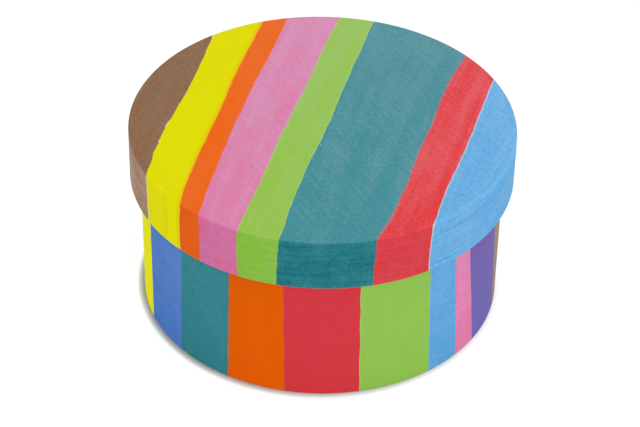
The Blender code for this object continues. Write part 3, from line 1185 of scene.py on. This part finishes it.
def make_table_surface():
    """Matt white. Where it is seen directly it glows, with a painted shadow close to the box: the glow is
    cut to the open share of the surroundings within reach, looking towards the light, raised to a power."""
    material, tree, shader = new_material("white_table")
    seen = seen_directly(tree)
    shade = add_node(tree, "ShaderNodeMix", seen, grey(table_bounce), grey(table_seen), data_type="RGBA")
    tree.links.new(shade, shader.inputs["Base Color"])
    upwards = add_node(tree, "ShaderNodeNewGeometry", output="Normal")
    leaning = add_node(tree, "ShaderNodeVectorMath", upwards, light_lean, operation="ADD")
    to_light = add_node(tree, "ShaderNodeVectorMath", leaning, operation="NORMALIZE")
    nearby = add_node(
        tree, "ShaderNodeAmbientOcclusion", None, painted_shadow_reach, to_light, output="AO",
        samples=painted_shadow_samples,
    )
    painted_contact_shadow = add_node(tree, "ShaderNodeMath", nearby, painted_shadow_depth, operation="POWER")
    glow = add_node(tree, "ShaderNodeMath", painted_contact_shadow, table_glow, operation="MULTIPLY")
    glow = add_node(tree, "ShaderNodeMath", glow, seen, operation="MULTIPLY")
    tree.links.new(glow, shader.inputs["Emission Strength"])
    shader.inputs["Emission Color"].default_value = white
    shader.inputs["Roughness"].default_value = 1.0
    shader.inputs["Specular IOR Level"].default_value = 0.0
    return material


table = make_table()
table.data.materials.append(make_table_surface())
print("the table is", table_width, "m wide and lies", round(table_drop / mm, 2), "mm under the box")

# %% Light
surround_strength = 0.80
# Each lamp: its name, its place and the side of its square in metres, and its power in watts.
softboxes = (
    ("overhead_softbox", (0.35, 0.10, 1.0), 0.6, 2.6),
    ("front_softbox", (0.25, -1.1, 0.45), 0.7, 3.0),
)


def make_surroundings():
    """Even white light from all round, and plain white where it is seen directly."""
    world = bpy.data.worlds.new("white_room")
    world.use_nodes = True
    bpy.context.scene.world = world
    tree = world.node_tree
    background = tree.nodes["Background"]
    background.inputs["Color"].default_value = white
    strength = add_node(tree, "ShaderNodeMapRange", seen_directly(tree), 0.0, 1.0, surround_strength, 1.0)
    tree.links.new(strength, background.inputs["Strength"])


def make_softbox(name, place, size, power):
    """A square lamp of the given size that looks at the middle of the box."""
    lamp = bpy.data.lights.new(name, "AREA")
    lamp.shape = "SQUARE"
    lamp.size = size
    lamp.energy = power
    holder = bpy.data.objects.new(name, lamp)
    holder.location = place
    aim = Vector((0, 0, lid_top / 2)) - holder.location
    holder.rotation_euler = aim.to_track_quat("-Z", "Y").to_euler()
    bpy.context.scene.collection.objects.link(holder)
    print(name, "stands", round(aim.length, 2), "m from the box")


make_surroundings()
for softbox in softboxes:
    make_softbox(*softbox)

# %% [markdown]
# ## The photograph's viewpoint
#
# Distance, height and focal length were fitted to the outlines of the lid and the foot in the
# photograph, with the centre of the lid's top as the point that the distances are counted from.

# %% Camera
camera_distance = 711.0 * mm
camera_elevation = math.radians(35.46)
camera_pan = math.radians(0.027)
camera_tilt = math.radians(-2.275)
camera_roll = math.radians(1.20)
sensor_width = 36.0
focal_length = 129.64

lens = bpy.data.cameras.new("photograph_view")
lens.sensor_width = sensor_width
lens.lens = focal_length
camera = bpy.data.objects.new("photograph_view", lens)
looking = Matrix.Rotation(math.pi / 2 - camera_elevation, 4, "X")
looking @= Matrix.Rotation(camera_pan, 4, "Y")
looking @= Matrix.Rotation(camera_tilt, 4, "X")
looking @= Matrix.Rotation(camera_roll, 4, "Z")
away_from_lid = Vector((0, -math.cos(camera_elevation), math.sin(camera_elevation))) * camera_distance
camera.matrix_world = Matrix.Translation(away_from_lid + Vector((0, 0, lid_top))) @ looking
bpy.context.scene.collection.objects.link(camera)
bpy.context.scene.camera = camera
bpy.context.scene.view_settings.view_transform = "Standard"
print("the camera takes in", round(math.degrees(lens.angle), 1), "degrees from side to side")

# %% Measure the two sizes
sizes = {
    "construction": [list(corner) for corner in construction_box],
    "finished": [list(corner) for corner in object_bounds()],
}
print("finished box:", [round(high - low, 4) for low, high in zip(*sizes["finished"])], "m")
